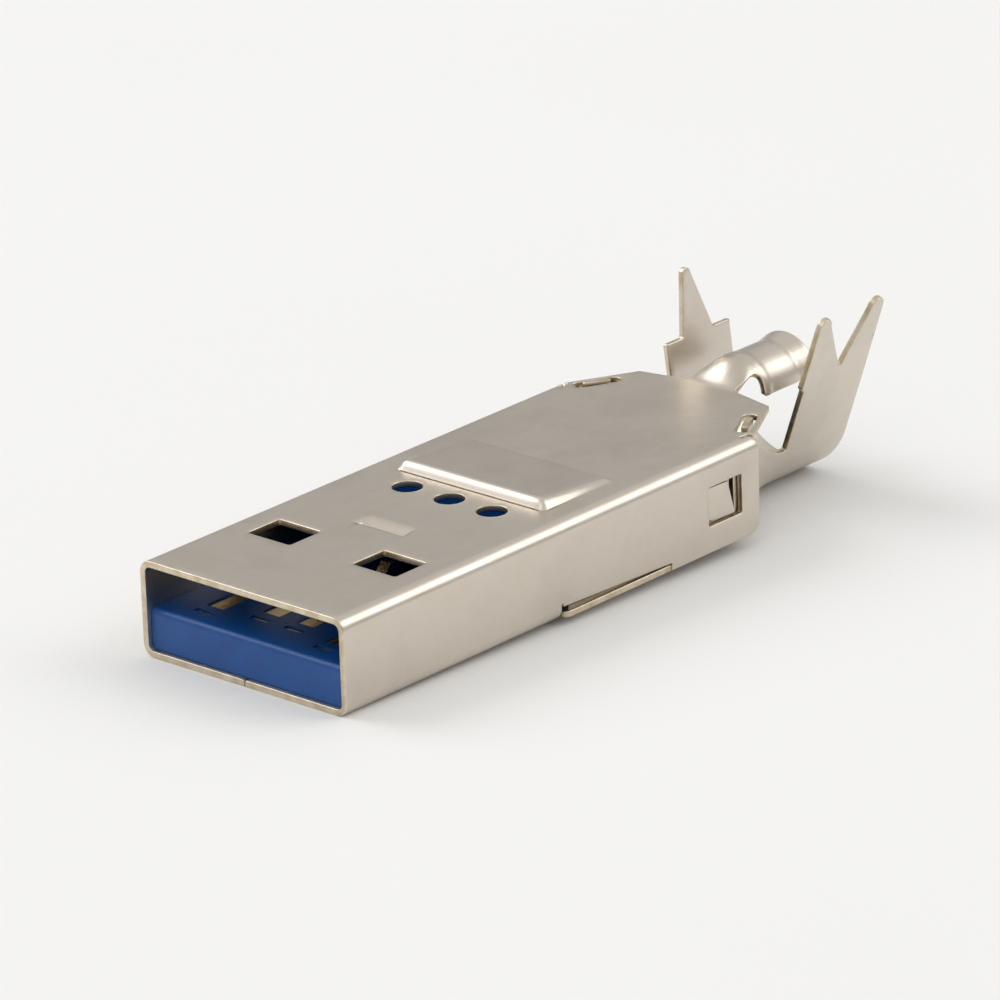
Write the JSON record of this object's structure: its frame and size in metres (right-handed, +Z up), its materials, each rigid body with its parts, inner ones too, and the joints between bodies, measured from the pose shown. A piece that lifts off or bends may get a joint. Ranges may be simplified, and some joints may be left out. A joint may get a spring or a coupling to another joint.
{
  "type": "usb-a plug",
  "caption": "Wire-mount standard-A cable plug: two clip-together sheet-metal shells around a blue contact carrier, with solder tails and an open crimp barrel with forked and spiked wings.",
  "frame": {"origin": "centre of the mating face, at half the height of the shell", "axes": "+X from the mating face back to the cable, +Z up through the side with the pad and the cable saddle, +Y to the side of the spiked wing"},
  "size_m": [0.0367, 0.012, 0.0093],
  "materials": {
    "upper_shell": "satin nickel-plated sheet with a warm grey tone",
    "lower_shell": "satin nickel-plated sheet with a warm grey tone",
    "contact_carrier": "moulded blue, semi-gloss",
    "terminal_block": "moulded black, matt",
    "contacts": "gold-flashed copper alloy strip"
  },
  "bodies": {
    "root": {"upper_shell": "upper_shell", "lower_shell": "lower_shell", "contact_carrier": "contact_carrier", "terminal_block": "terminal_block", "power_contact": "contacts", "data_minus_contact": "contacts", "data_plus_contact": "contacts", "ground_contact": "contacts", "receive_minus_contact": "contacts", "receive_plus_contact": "contacts", "drain_contact": "contacts", "transmit_minus_contact": "contacts", "transmit_plus_contact": "contacts"}
  },
  "joints": []
}
